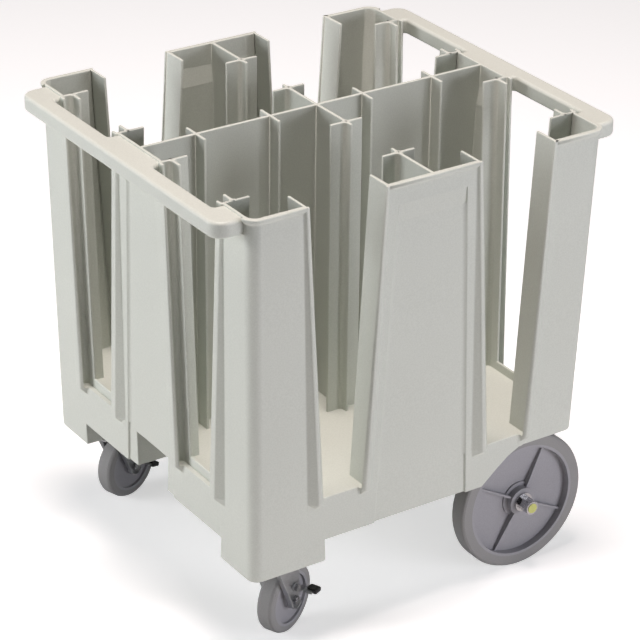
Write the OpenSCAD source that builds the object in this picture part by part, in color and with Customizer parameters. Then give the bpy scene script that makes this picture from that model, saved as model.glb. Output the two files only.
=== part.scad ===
// Plate dispenser cart: an open moulded body with four plate wells, two
// fixed rear wheels on a cross axle and two swivel casters with brakes.
// X runs from the caster end to the wheel end, Z is up, and the origin is on
// the floor under the middle of the body. Left is the side of lower Y.

/* [Body] */
// Length of the body at its rim
body_l = 708; // [660:4:760]
// Width of the body at its rim
body_w = 696; // [650:4:750]
// Height of the rim above the floor
rim_z = 830; // [760:2:880]
// Height of the deck above the top of the rear wheels
deck_over = 24; // [18:1:36]
// Height of the lower edge of the skirt
skirt_z = 200; // [190:2:212]
// Height of the lower edge of the caster blocks
block_z = 156; // [150:1:164]
// Thickness of the moulded walls
wall = 5; // [4:0.5:6]
// Thickness of the deck
deck_t = 6; // [5:0.5:8]
// How far the floors of the four wells stand above the deck
well_rise = 1; // [1:0.5:3]
// Outer radius of the upright corners
corner_r = 20; // [14:1:28]
// How far the panels stand in from the lips of the slots, at the rim
border_in = 4.5; // [0:0.5:6]
// Inward lean of the sides and of the caster end, rim to block
draft_side = 10.5; // [6:0.5:14]
// Inward lean of the wheel end, rim to block
draft_rear = 25.5; // [14:0.5:30]

/* [Side slots] */
// Width of the posts in the middle of the long sides, at the rim
side_post_w = 190; // [170:2:210]
// Width of a side slot at the rim
side_slot_w = 147; // [130:1:160]
// How far each edge of a side slot closes in from rim to deck
side_slot_taper = 29; // [15:1:36]
// Width of the lip beside a side slot
side_lip = 12; // [8:1:20]

/* [End slots] */
// Width of the posts in the middle of the ends, at the rim
end_post_w = 166; // [150:2:180]
// Width of an end slot at the rim
end_slot_w = 165; // [150:1:175]
// How far each edge of an end slot closes in from rim to deck
end_slot_taper = 26; // [15:1:34]
// Width of the lip beside an end slot
end_lip = 12; // [8:1:16]
// Width of the fin that guards the plates beside an end slot
guard_w = 27; // [18:1:34]
// Depth of that fin inside the end face
guard_in = 22; // [18:1:40]
// Height of the curb that joins two fins across the deck
curb_h = 17; // [10:1:26]
// Depth of the flanges behind all the slots
flange_in = 55; // [46:1:64]
// How far a sill's underside slopes down below the deck
sill_drop = 18; // [10:1:24]

/* [Dividers] */
// Half length of the cross divider in the middle
cross_half = 89; // [70:1:105]
// How far the dividers of the side posts reach in from the rim
side_web = 108; // [90:1:130]
// Half width of the cross bar at the end of a divider
bar_half = 32; // [24:1:38]
// Length of the short tail past a cross bar
tail_l = 17; // [8:1:26]
// Half length of the short fins along the long divider
fin_half = 30; // [20:1:40]
// Distance of the inner short fins from the middle
fin_near = 94; // [80:1:110]
// Distance of the outer short fins from the middle
fin_far = 240; // [220:1:262]

/* [Handles] */
// Width of the gap between a handle bar and the body
grip_gap = 12; // [6:0.5:16]
// Width of a handle bar
grip_w = 34; // [28:1:42]
// Height of a handle bar
grip_h = 29; // [22:1:36]
// How far the top of a handle bar lies below the rim
grip_drop = 3; // [0:1:10]
// Distance of the ends of a handle from the long sides
grip_side = 26; // [24:1:48]
// Radius of the outer corners of a handle
grip_r = 26; // [14:1:34]

/* [Skirt] */
// Half width of the notch in the middle of the ends
notch_half = 50; // [36:1:60]
// Distance of the top of that notch below the deck
notch_drop = 19; // [16:1:40]
// Length of a caster block
block_l = 160; // [146:1:172]
// Width of a caster block
block_w = 122; // [110:1:134]
// Distance of the raised lower edge round the rear wheels below the deck
arch_drop = 25; // [18:1:28]
// Distance of the start of the wheel arch in front of the rear axle
arch_lead = 105; // [98:1:120]
// Length of the curve of the wheel arch
arch_run = 96; // [70:1:104]

/* [Rear wheels] */
// Radius of a rear wheel
wheel_r = 130; // [118:1:130]
// Width of the tyre of a rear wheel
wheel_w = 35; // [30:1:40]
// Distance of the rear axle from the wheel end of the body
axle_back = 119; // [116:1:128]
// Distance of the outer face of a rear wheel from the long side
wheel_inset = 32; // [28:1:40]
// Thickness of the tyre of a rear wheel, from its tread inwards
tyre_t = 21; // [18:1:26]
// Thickness of the rim between the tyre and the recess in the wheel centre
rim_t = 5; // [4:1:12]
// Thickness of the web of the wheel centre
web_t = 8; // [6:1:12]
// Radius of the hub of a rear wheel
hub_r = 26; // [21:1:28]
// Radius of the raised foot round the hub, on the web
foot_r = 33; // [30:1:40]
// Thickness of the ribs of a rear wheel
rib_t = 4; // [3:0.5:6]
// How far the ribs stand out of the web at the rim
rib_end = 5; // [2:0.5:8]
// Number of ribs on each face of a rear wheel
rib_count = 4; // [3:1:6]
// Turn of the ribs from level, as the wheels stand
rib_turn = 62; // [0:1:89]
// Diameter of the rear axle
axle_d = 16; // [14:1:20]

/* [Casters] */
// Distance of the swivel axes from the caster end of the body
swivel_back = 98; // [92:1:104]
// Distance of the swivel axes from the long sides
swivel_side = 75; // [70:1:82]
// Distance of a caster wheel's axle from its swivel axis
trail = 26; // [20:1:32]
// Radius of a caster wheel
caster_r = 63.5; // [60:0.5:64]
// Width of a caster wheel
caster_w = 32; // [28:1:34]
// Turn of the left caster as it stands
yaw_left = 24; // [0:1:60]
// Turn of the right caster as it stands
yaw_right = 18; // [0:1:60]
// How far the right brake stands pressed
press_right = 14; // [0:1:14]
// Thickness of the pressed fork
fork_t = 3; // [2.5:0.5:4]
// Diameter of a caster wheel's axle bolt
bolt_d = 10; // [8:1:12]
// Diameter of the pin that holds the swivel together
kingpin_d = 12; // [10:1:14]

/* [Hidden] */

// Colours
body_grey = [0.78, 0.78, 0.75];
tyre_grey = [0.5, 0.5, 0.5];
wheel_grey = [0.57, 0.57, 0.6];
zinc = [0.72, 0.73, 0.74];
chrome = [0.6, 0.61, 0.63];
cap_yellow = [0.76, 0.77, 0.42];
tab_black = [0.16, 0.16, 0.16];

// General clearances
over = 1;
shaft_gap = 0.05;
run_gap = 0.6;
hole_gap = 0.5;
seam = 0.02;
well_clear = 6;
head_room = 1;
thread_out = 1;

// Body places worked out from the driving dimensions
half_l = body_l/2;
half_w = body_w/2;
deck_z = 2*wheel_r + deck_over;
arch_z = deck_z - arch_drop;
notch_z = deck_z - notch_drop;
rim_to_block = rim_z - block_z;
side_in = side_post_w/2;
side_out = side_in + side_slot_w;
end_in = end_post_w/2;
end_out = end_in + end_slot_w;
under_z = deck_z - deck_t;
far = body_l;
rear_tilt = atan((draft_rear - draft_side)/rim_to_block);
sill_lip = wall;
grip_half = half_w - grip_side;
grip_z = rim_z - grip_drop - grip_h;
axle_x = half_l - axle_back;
wheel_face = half_w - wheel_inset;
arch_x = axle_x - arch_lead;
swivel_x = half_l - swivel_back;
swivel_y = half_w - swivel_side;
tyre_in_r = wheel_r - tyre_t;
recess_r = tyre_in_r - rim_t;

// Inward lean of a wall at a height
function lean(z, draft) = draft*(rim_z - z)/rim_to_block;
// Outer face of a leaning wall at a height
function face_side(z) = half_w - border_in - lean(z, draft_side);
function face_front(z) = half_l - border_in - lean(z, draft_side);
function face_rear(z) = half_l - border_in - lean(z, draft_rear);

// A four cornered strip that leans from one place at the rim to one at the deck
function strip(a_top, b_top, a_low, b_low) =
    [[a_top, rim_z], [b_top, rim_z], [b_low, deck_z], [a_low, deck_z]];

// A flat outline in X and Z, given thickness from y0 to y1
module across_side(y0, y1) {
    translate([0, y1, 0]) rotate([90, 0, 0]) linear_extrude(y1 - y0) children();
}

// A flat outline in Y and Z, given thickness from x0 to x1
module across_end(x0, x1) {
    translate([x0, 0, 0]) rotate([90, 0, 90]) linear_extrude(x1 - x0) children();
}

// The leaning outer form of the body, drawn in by an inset
module leaning_form(inset, z_low, z_high) {
    disc_h = seam;
    hull() for (z = [z_low, z_high - disc_h], sx = [-1, 1], sy = [-1, 1]) {
        reach_x = sx < 0 ? face_front(z) : face_rear(z);
        translate([sx*(reach_x - corner_r), sy*(face_side(z) - corner_r), z])
            cylinder(r = corner_r - inset, h = disc_h, $fn = 32);
    }
}

// The leaning outer wall of the body between two heights
module leaning_shell(z_low, z_high) {
    difference() {
        leaning_form(0, z_low, z_high);
        leaning_form(wall, z_low - over, z_high + over);
    }
}

module between(z_low, z_high) {
    intersection() {
        children();
        translate([-far, -far, z_low]) cube([2*far, 2*far, z_high - z_low]);
    }
}

// Turns what stands behind the rear face to lean with that face
module lean_rear(rear) {
    turn = rear ? rear_tilt : 0;
    translate([half_l, 0, rim_z]) rotate([0, turn, 0]) translate([-half_l, 0, -rim_z]) children();
}

// Mirrors a piece drawn at the rear left to another corner
module at_corner(rear, left) {
    mirror([rear ? 0 : 1, 0, 0]) mirror([0, left ? 0 : 1, 0]) children();
}

// Lip and flange at one edge of a side slot, drawn on the left side. The edge
// is at e_top on the rim and e_low on the deck, and the flange lies at away.
module side_edge(e_top, e_low, away) {
    lip_top = min(e_top, e_top + away*side_lip);
    lip_low = min(e_low, e_low + away*side_lip);
    across_side(-half_w, wall - half_w)
        polygon(strip(lip_top, lip_top + side_lip, lip_low, lip_low + side_lip));
    root_top = e_top + away*(side_lip - wall/2) - wall/2;
    root_low = e_low + away*(side_lip - wall/2) - wall/2;
    across_side(-half_w, flange_in - half_w)
        polygon(strip(root_top, root_top + wall, root_low, root_low + wall));
}

// Lip, flange and guard fin at one edge of an end slot, drawn at the rear
module end_edge(e_top, e_low, away) {
    lip_top = min(e_top, e_top + away*end_lip);
    lip_low = min(e_low, e_low + away*end_lip);
    across_end(half_l - wall, half_l)
        polygon(strip(lip_top, lip_top + end_lip, lip_low, lip_low + end_lip));
    root_top = e_top + away*(end_lip - wall/2) - wall/2;
    root_low = e_low + away*(end_lip - wall/2) - wall/2;
    across_end(half_l - flange_in, half_l)
        polygon(strip(root_top, root_top + wall, root_low, root_low + wall));
    fin_top = min(e_top + away*end_lip, e_top + away*(end_lip - guard_w));
    fin_low = min(e_low + away*end_lip, e_low + away*(end_lip - guard_w));
    across_end(half_l - guard_in - wall, half_l - guard_in)
        polygon(strip(fin_top, fin_top + guard_w, fin_low, fin_low + guard_w));
}

// A corner post: two panels of the leaning wall with flanged slot edges
module corner_post(rear, left) {
    color(body_grey) between(deck_z, rim_z) {
        intersection() {
            leaning_shell(deck_z, rim_z);
            at_corner(rear, left) union() {
                across_side(-far, border_in + draft_side + wall + corner_r - half_w)
                    polygon(strip(side_out, far, side_out - side_slot_taper, far));
                mirror([0, 1, 0]) across_end(half_l - border_in - draft_rear - wall - corner_r, far)
                    polygon(strip(end_out, far, end_out - end_slot_taper, far));
            }
        }
        at_corner(rear, left) {
            side_edge(side_out, side_out - side_slot_taper, 1);
            lean_rear(rear) mirror([0, 1, 0])
                end_edge(end_out, end_out - end_slot_taper, 1);
        }
    }
}

// The post in the middle of a long side, with its own short divider
module side_post(left) {
    bar_y = half_w - side_web;
    color(body_grey) between(deck_z, rim_z) {
        intersection() {
            leaning_shell(deck_z, rim_z);
            at_corner(true, left) across_side(-far, -bar_y)
                polygon(strip(-side_in, side_in, -side_in - side_slot_taper,
                    side_in + side_slot_taper));
        }
        at_corner(true, left) {
            for (s = [0, 1]) mirror([s, 0, 0])
                side_edge(side_in, side_in + side_slot_taper, -1);
            across_end(-wall/2, wall/2)
                polygon([[wall/2 - face_side(rim_z), rim_z], [tail_l - bar_y, rim_z],
                    [tail_l - bar_y, deck_z], [wall/2 - face_side(deck_z), deck_z]]);
            translate([-bar_half, -bar_y - wall, deck_z])
                cube([2*bar_half, wall, rim_z - deck_z]);
        }
    }
}

// The post in the middle of an end
module end_post(rear) {
    color(body_grey) between(deck_z, rim_z) {
        intersection() {
            leaning_shell(deck_z, rim_z);
            at_corner(rear, true) across_end(half_l - flange_in, far)
                polygon(strip(-end_in, end_in, -end_in - end_slot_taper,
                    end_in + end_slot_taper));
        }
        at_corner(rear, true) lean_rear(rear) for (s = [0, 1]) mirror([0, s, 0])
            end_edge(end_in, end_in + end_slot_taper, -1);
    }
}

// The long divider, its short fins and the cross divider
module centre_divider() {
    tall = rim_z - deck_z;
    color(body_grey) {
        across_side(-wall/2, wall/2) polygon([
            [wall - face_front(rim_z), rim_z], [face_rear(rim_z) - wall, rim_z],
            [face_rear(deck_z) - wall, deck_z], [wall - face_front(deck_z), deck_z]]);
        for (x = [-fin_far, -fin_near, fin_near, fin_far])
            translate([x - wall/2, -fin_half, deck_z]) cube([wall, 2*fin_half, tall]);
        translate([-wall/2, -cross_half - tail_l, deck_z])
            cube([wall, 2*(cross_half + tail_l), tall]);
        for (s = [-1, 1]) translate([-bar_half, s*cross_half - wall/2, deck_z])
            cube([2*bar_half, wall, tall]);
    }
}

// Plan of a handle, drawn at the rear: a bar, bridged to the three posts. The
// bridges run into the walls, which are cut away later.
module handle_plan() {
    difference() {
        intersection() {
            translate([half_l - grip_r, -grip_half])
                square([grip_r + grip_gap + grip_w, 2*grip_half]);
            hull() for (s = [-1, 1]) {
                translate([half_l + grip_gap + grip_w - grip_r, s*(grip_half - grip_r)])
                    circle(grip_r, $fn = 32);
                translate([half_l - grip_r, s*(grip_half - grip_r)])
                    circle(grip_r, $fn = 32);
            }
        }
        for (s = [0, 1]) mirror([0, s]) translate([half_l - 2*grip_r, end_in - end_lip])
            square([2*grip_r + grip_gap, end_slot_w + 2*end_lip]);
    }
}

module handle(rear) {
    color(body_grey) difference() {
        at_corner(rear, true) translate([0, 0, grip_z]) linear_extrude(grip_h) handle_plan();
        leaning_form(0, deck_z, rim_z);
    }
}

// Sill of a side slot: it fills the step from the leaning wall to the lips
module side_sill() {
    low = side_in + side_slot_taper;
    high = side_out - side_slot_taper;
    across_end(low - side_lip, high + side_lip) polygon([
        [-half_w, deck_z], [-half_w, deck_z - sill_lip],
        [wall - face_side(deck_z - sill_drop), deck_z - sill_drop],
        [2*wall - face_side(deck_z), deck_z]]);
}

// Sill and curb of an end slot, drawn at the rear
module end_sill(rear) {
    low = end_in + end_slot_taper;
    high = end_out - end_slot_taper;
    face_z = rear ? face_rear(deck_z) : face_front(deck_z);
    step = rear ? half_l - lean(deck_z, draft_rear - draft_side) : half_l;
    drop_x = face_z - lean(rim_z - sill_drop, draft_side) - wall;
    across_side(low - end_lip, high + end_lip) polygon([
        [step, deck_z], [step, deck_z - sill_lip],
        [drop_x, deck_z - sill_drop], [face_z - 2*wall, deck_z]]);
    curb_x = step - guard_in;
    translate([curb_x - wall, low + guard_w - end_lip, deck_z - seam])
        cube([wall, high - low + 2*(end_lip - guard_w), curb_h + seam]);
}

// Points of the wheel arch, as shares of its length and of its rise
arch_shares = [[0, 0], [0.32, 0.45], [0.56, 0.76], [0.78, 0.94], [1, 1]];

// Everything that the leaning wall loses below the deck, as an outline in X, Z
module side_cuts() {
    polygon(concat([[-far, block_z - over], [-far, -over], [far, -over], [far, arch_z]],
        [for (i = [len(arch_shares) - 1 : -1 : 0]) [arch_x + arch_shares[i][0]*arch_run,
            skirt_z + arch_shares[i][1]*(arch_z - skirt_z)]],
        [[block_l - half_l, skirt_z], [block_l - half_l, block_z - over]]));
}

// The same for the ends, as an outline in Y, Z
module end_cuts(low_z) {
    edge = half_w - block_w;
    polygon([[-edge, -over], [edge, -over], [edge, low_z], [notch_half, low_z],
        [notch_half, notch_z], [-notch_half, notch_z], [-notch_half, low_z], [-edge, low_z]]);
}

// Floor and walls of one caster block, and one wall of the channel in the middle
module tub_ribs() {
    inner_y = half_w - block_w;
    end_x = block_l - half_l;
    block_tall = under_z - block_z + seam;
    rib_tall = under_z - skirt_z + seam;
    translate([-far, inner_y, block_z]) cube([far + end_x, far, deck_t]);
    translate([-far, inner_y, block_z]) cube([far + end_x, wall, block_tall]);
    translate([end_x - wall, inner_y, block_z]) cube([wall, far, block_tall]);
    translate([-far, notch_half, skirt_z]) cube([far + end_x, wall, rib_tall]);
    translate([end_x - wall, notch_half, skirt_z])
        cube([wall, inner_y - notch_half + seam, rib_tall]);
}

// Raised floor of one well, clear of the walls and fins round it
module well_floor() {
    near_x = bar_half + well_clear;
    near_y = fin_half + well_clear;
    translate([near_x, near_y, deck_z - seam]) cube([half_l - flange_in - draft_rear - near_x,
        half_w - flange_in - well_clear - near_y, well_rise + seam]);
}

// Deck, skirt and the two caster blocks
module base_tub() {
    color(body_grey) difference() {
        union() {
            intersection() {
                leaning_form(0, block_z, deck_z);
                union() {
                    translate([-far, -far, under_z]) cube([2*far, 2*far, deck_t]);
                    for (s = [0, 1]) mirror([0, s, 0]) tub_ribs();
                }
            }
            difference() {
                leaning_shell(block_z, deck_z);
                across_side(-far, far) side_cuts();
                across_end(-far, corner_r + block_l - half_l) end_cuts(skirt_z);
                translate([axle_x, -far, -over]) cube([far, 2*far, arch_z + over]);
            }
            for (s = [0, 1], t = [0, 1]) mirror([s, 0, 0]) mirror([0, t, 0]) {
                side_sill();
                well_floor();
            }
            for (rear = [true, false], t = [0, 1]) mirror([rear ? 0 : 1, 0, 0])
                mirror([0, t, 0]) end_sill(rear);
        }
        for (s = [-1, 1]) {
            translate([-swivel_x, s*swivel_y, 0]) {
                plate_hole_places() translate([0, 0, block_z - over])
                    cylinder(d = plate_bolt_d + hole_gap, h = deck_t + 2*over, $fn = 32);
                translate([0, 0, block_z - over])
                    cylinder(d = kingpin_head_d + 2*head_room, h = deck_t + 2*over, $fn = 48);
            }
            bracket_hole_places(s) translate([0, 0, under_z - over])
                cylinder(d = bracket_bolt_d + bolt_gap, h = over + screw_in, $fn = 32);
        }
    }
}

// Rear axle, its brackets and fasteners
bracket_t = 4;
bracket_w = 70;
bracket_foot = 44;
bracket_drop_r = 22;
bracket_bolt_d = 8;
bracket_bolt_in = 16;
bracket_gap = 43;
screw_share = 0.75;
screw_in = deck_t*screw_share;
bracket_y = wheel_face - wheel_w - bracket_gap;
head_d = 15;
head_h = 5.5;
nut_h = 6.5;
hub_out = 2;
foot_h = 3;
hub_w = wheel_w + 2*hub_out;
hub_in_y = wheel_face + hub_out - hub_w;
washer_t = 3;
washer_d = 36;
axle_nut_d = 27;
axle_nut_h = 18;
collar_d = 25;
collar_h = 7;
cap_d = 18;
cap_h = 8;
spacer_d = 24;
axle_end = wheel_face + hub_out + run_gap + washer_t + axle_nut_h;
plate_bolt_d = 8;
bolt_gap = 0.2;
bush_t = 2.5;

module bracket_hole_places(side) {
    for (s = [-1, 1]) translate([axle_x + s*(bracket_w/2 - bracket_bolt_in),
        side*(bracket_y - bracket_foot/2), 0]) children();
}

module rear_axle() {
    color(zinc) rotate([90, 0, 0]) translate([axle_x, wheel_r, -axle_end])
        cylinder(d = axle_d, h = 2*axle_end, $fn = 64);
}

// An angle bracket of thick sheet: a foot under the deck and a cheek round the axle
module axle_bracket(side) {
    cheek = wheel_r;
    color(zinc) mirror([0, side < 0 ? 1 : 0, 0]) difference() {
        union() {
            translate([axle_x - bracket_w/2, bracket_y - bracket_foot, under_z - bracket_t])
                cube([bracket_w, bracket_foot, bracket_t]);
            across_side(bracket_y - bracket_t, bracket_y) union() {
                translate([axle_x, cheek]) circle(r = bracket_drop_r, $fn = 64);
                polygon([[axle_x - bracket_drop_r, cheek], [axle_x + bracket_drop_r, cheek],
                    [axle_x + bracket_w/2, under_z], [axle_x - bracket_w/2, under_z]]);
            }
        }
        translate([axle_x, bracket_y + over, cheek]) rotate([90, 0, 0])
            cylinder(d = axle_d + 2*shaft_gap, h = bracket_t + 2*over, $fn = 64);
        for (s = [-1, 1]) translate([axle_x + s*(bracket_w/2 - bracket_bolt_in),
            bracket_y - bracket_foot/2, under_z - bracket_t - over])
            cylinder(d = bracket_bolt_d + hole_gap, h = bracket_t + 2*over, $fn = 32);
    }
}

// A bolt that hangs from its head: the head is on top, the shank goes down
module bolt(d, head, h_head, shank) {
    cylinder(d = head, h = h_head, $fn = 32);
    translate([0, 0, -shank]) cylinder(d = d, h = shank + seam, $fn = 32);
}

module hex_nut(across, bore, h) {
    difference() {
        cylinder(d = across, h = h, $fn = 6);
        translate([0, 0, -over]) cylinder(d = bore, h = h + 2*over, $fn = 48);
    }
}

module bracket_screws() {
    color(zinc) for (side = [-1, 1]) bracket_hole_places(side)
        translate([0, 0, under_z - bracket_t]) mirror([0, 0, 1])
            bolt(bracket_bolt_d, head_d, head_h, bracket_t + screw_in);
}

// Places something on the axle at a distance from the middle plane, facing out
module on_axle(side, y) {
    mirror([0, side < 0 ? 1 : 0, 0]) translate([axle_x, y, wheel_r])
        rotate([-90, 0, 0]) children();
}

module ring(outer_d, inner_d, h) {
    difference() {
        cylinder(d = outer_d, h = h, $fn = 64);
        translate([0, 0, -over]) cylinder(d = inner_d, h = h + 2*over, $fn = 64);
    }
}

module axle_spacers() {
    gap_l = hub_in_y - run_gap - bracket_y;
    color(zinc) for (side = [-1, 1]) on_axle(side, bracket_y)
        ring(spacer_d, axle_d + bolt_gap, gap_l);
}

module axle_washers() {
    color(chrome) for (side = [-1, 1]) on_axle(side, wheel_face + hub_out + run_gap)
        ring(washer_d, axle_d + bolt_gap, washer_t);
}

// A hex nut with a round collar, which holds the cap
module axle_nuts() {
    color(chrome) for (side = [-1, 1]) {
        on_axle(side, axle_end - axle_nut_h) hex_nut(axle_nut_d, axle_d + bolt_gap, axle_nut_h);
        on_axle(side, axle_end - seam) ring(collar_d, cap_d + bolt_gap, collar_h + seam);
    }
}

module axle_caps() {
    color(cap_yellow) for (side = [-1, 1]) on_axle(side, axle_end)
        cylinder(d = cap_d, h = cap_h, $fn = 48);
}

// Half section of the tyre, from the axle outwards, along the axle's length
tread_round = 5;
tyre_lip = 2;
round_share = 1/3;
module tyre(side) {
    color(tyre_grey) on_axle(side, wheel_face - wheel_w) rotate_extrude($fn = 96)
        polygon([[tyre_in_r, 0], [wheel_r - tread_round, 0],
            [wheel_r - tread_round*round_share, tread_round*round_share],
            [wheel_r, tread_round], [wheel_r, wheel_w - tread_round],
            [wheel_r - tread_round*round_share, wheel_w - tread_round*round_share],
            [wheel_r - tread_round, wheel_w], [tyre_in_r, wheel_w]]);
}

// Rim, web, hub and ribs of a rear wheel, with a bore for its bush
module wheel_centre(side) {
    bush_d = axle_d + 2*shaft_gap + 2*bush_t;
    web_low = wheel_w/2 - web_t/2;
    web_high = web_low + web_t;
    color(wheel_grey) on_axle(side, wheel_face - wheel_w) {
        rotate_extrude($fn = 96) polygon([
            [bush_d/2, -hub_out], [hub_r, -hub_out], [hub_r, web_low - foot_h],
            [foot_r, web_low - foot_h], [foot_r, web_low],
            [recess_r, web_low], [recess_r, 0], [tyre_in_r, 0], [tyre_in_r, wheel_w],
            [recess_r, wheel_w], [recess_r, web_high], [foot_r, web_high],
            [foot_r, web_high + foot_h], [hub_r, web_high + foot_h],
            [hub_r, wheel_w + hub_out], [bush_d/2, wheel_w + hub_out]]);
        for (i = [0 : rib_count - 1]) rotate([0, 0, -rib_turn - i*360/rib_count])
            translate([0, rib_t/2, 0]) rotate([90, 0, 0]) linear_extrude(rib_t) polygon([
                [hub_r - over, tyre_lip], [recess_r + over, web_low - rib_end],
                [recess_r + over, web_high + rib_end], [hub_r - over, wheel_w - tyre_lip]]);
    }
}

module wheel_bush(side) {
    inner_d = axle_d + 2*shaft_gap;
    color(tab_black) on_axle(side, hub_in_y) ring(inner_d + 2*bush_t, inner_d, hub_w);
}

// Caster sizes, in a caster's own frame: swivel axis up through the origin,
// floor at zero, and the wheel's axle at plus trail along X
plate_l = 100;
plate_w = 84;
plate_t = 3;
plate_hole_x = 38;
plate_hole_y = 30;
race_d = 54;
race_h = 8;
race_gap = 0.4;
crown_r = 30;
kingpin_head_d = 20;
kingpin_head_h = 3;
kingpin_tail_d = 18;
kingpin_tail_h = 4;
leg_gap = 2.5;
leg_foot_r = 16;
leg_y = caster_w/2 + leg_gap;
crown_z = block_z - plate_t - race_h - race_gap - fork_t;
core_r = 50;
caster_hub_r = 17;
core_web_t = 22;
caster_bush_t = 1.5;
axle_head_d = 16;
axle_head_h = 6;
caster_nut_h = 8;
lever_t = 3;
lever_rise = 26;
lever_pin_d = 8;
lever_pin_head = 13;
lever_reach = 30;
lever_drop = 20;
lever_w = 15;
hem_w = 7;
hem_share = 0.75;
tip_share = 0.25;
core_out = 1;
tab_l = 17;
tab_w = 20;
tab_t = 8;
tab_in = 11;
tab_gap = 2;

module plate_hole_places() {
    for (sx = [-1, 1], sy = [-1, 1])
        translate([sx*plate_hole_x, sy*plate_hole_y, 0]) children();
}

module at_caster(left, turned) {
    translate([-swivel_x, left ? -swivel_y : swivel_y, 0])
        rotate([0, 0, turned ? (left ? yaw_left : yaw_right) : 0]) children();
}

module caster_bolts() {
    color(zinc) for (left = [true, false]) at_caster(left, false) plate_hole_places()
        translate([0, 0, block_z - plate_t]) mirror([0, 0, 1])
            bolt(plate_bolt_d, head_d, head_h, plate_t + deck_t + nut_h + thread_out);
}

module caster_nuts() {
    color(zinc) for (left = [true, false]) at_caster(left, false) plate_hole_places()
        translate([0, 0, block_z + deck_t]) hex_nut(head_d, plate_bolt_d + bolt_gap, nut_h);
}

module caster_plate(left) {
    color(zinc) at_caster(left, false) difference() {
        translate([-plate_l/2, -plate_w/2, block_z - plate_t])
            cube([plate_l, plate_w, plate_t]);
        plate_hole_places() translate([0, 0, block_z - plate_t - over])
            cylinder(d = plate_bolt_d + hole_gap, h = plate_t + 2*over, $fn = 32);
        translate([0, 0, block_z - plate_t - over])
            cylinder(d = kingpin_d + 2*shaft_gap, h = plate_t + 2*over, $fn = 48);
    }
}

module swivel_race(left) {
    color(zinc) at_caster(left, false)
        translate([0, 0, block_z - plate_t - race_h]) rotate_extrude($fn = 64) polygon([
            [kingpin_d/2 + shaft_gap, 0], [race_d/2 - race_h/2, 0],
            [race_d/2, race_h/2], [race_d/2, race_h], [kingpin_d/2 + shaft_gap, race_h]]);
}

module kingpin(left) {
    low = crown_z - kingpin_tail_h;
    color(zinc) at_caster(left, false) {
        translate([0, 0, low]) cylinder(d = kingpin_tail_d, h = kingpin_tail_h - run_gap, $fn = 48);
        translate([0, 0, low]) cylinder(d = kingpin_d, h = block_z - low + seam, $fn = 48);
        translate([0, 0, block_z]) cylinder(d = kingpin_head_d, h = kingpin_head_h, $fn = 48);
    }
}

// Outline of a fork leg in X and Z, wide at the crown and round at the axle
module leg_outline() {
    difference() {
        union() {
            translate([trail, caster_r]) circle(r = leg_foot_r, $fn = 48);
            polygon([[trail - leg_foot_r, caster_r], [trail + leg_foot_r, caster_r],
                [crown_r + trail/2, crown_z + fork_t], [-crown_r, crown_z + fork_t]]);
        }
        translate([trail, caster_r]) circle(d = bolt_d + 2*shaft_gap, $fn = 48);
    }
}

// The hem that stiffens a leg: its front edge, and the edge below the axle
module hem_outline() {
    polygon([[-crown_r, crown_z + fork_t], [fork_t - crown_r, crown_z + fork_t],
        [trail - leg_foot_r + fork_t, caster_r], [trail - leg_foot_r, caster_r]]);
    difference() {
        translate([trail, caster_r]) circle(leg_foot_r, $fn = 48);
        translate([trail, caster_r]) circle(leg_foot_r - fork_t, $fn = 48);
        translate([trail - leg_foot_r - over, caster_r])
            square([2*(leg_foot_r + over), 2*leg_foot_r]);
        translate([trail + leg_foot_r*hem_share, caster_r - leg_foot_r]) square(leg_foot_r);
    }
}

module fork(left) {
    color(zinc) at_caster(left, true) difference() {
        union() {
            for (s = [0, 1]) mirror([0, s, 0]) {
                across_side(leg_y, leg_y + fork_t) leg_outline();
                across_side(leg_y + fork_t - seam, leg_y + fork_t + hem_w) hem_outline();
            }
            translate([-crown_r, -leg_y - fork_t/2, crown_z])
                cube([2*crown_r + trail/2, 2*leg_y + fork_t, fork_t]);
        }
        translate([0, 0, crown_z - over])
            cylinder(d = kingpin_d + 2*shaft_gap, h = fork_t + 2*over, $fn = 48);
        translate([trail, -leg_y - fork_t - over, caster_r + lever_rise]) rotate([-90, 0, 0])
            cylinder(d = lever_pin_d + 2*shaft_gap, h = fork_t + 2*over, $fn = 48);
    }
}

// Turns a shape drawn round Z so that it lies on the caster's axle, from y up
module on_caster_axle(left, y) {
    at_caster(left, true) translate([trail, y, caster_r]) rotate([-90, 0, 0]) children();
}

caster_round = 6;
module caster_tread(left) {
    color(tyre_grey) on_caster_axle(left, -caster_w/2) rotate_extrude($fn = 96)
        polygon([[core_r, 0], [caster_r - caster_round, 0],
            [caster_r - caster_round*round_share, caster_round*round_share],
            [caster_r, caster_round], [caster_r, caster_w - caster_round],
            [caster_r - caster_round*round_share, caster_w - caster_round*round_share],
            [caster_r - caster_round, caster_w], [core_r, caster_w]]);
}

module caster_core(left) {
    bore = bolt_d/2 + shaft_gap + caster_bush_t;
    rim_in = core_r - wall;
    web_low = caster_w/2 - core_web_t/2;
    color(wheel_grey) on_caster_axle(left, -caster_w/2) rotate_extrude($fn = 96)
        polygon([[bore, -core_out], [caster_hub_r, -core_out], [caster_hub_r, web_low],
            [rim_in, web_low], [rim_in, 0], [core_r, 0], [core_r, caster_w],
            [rim_in, caster_w], [rim_in, web_low + core_web_t],
            [caster_hub_r, web_low + core_web_t], [caster_hub_r, caster_w + core_out],
            [bore, caster_w + core_out]]);
}

module caster_bush(left) {
    inner_d = bolt_d + 2*shaft_gap;
    reach = leg_y - run_gap/2;
    color(zinc) on_caster_axle(left, -reach) ring(inner_d + 2*caster_bush_t, inner_d, 2*reach);
}

module caster_axle(left) {
    reach = leg_y + fork_t;
    color(chrome) on_caster_axle(left, reach)
        bolt(bolt_d, axle_head_d, axle_head_h, 2*reach + caster_nut_h + thread_out);
}

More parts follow.
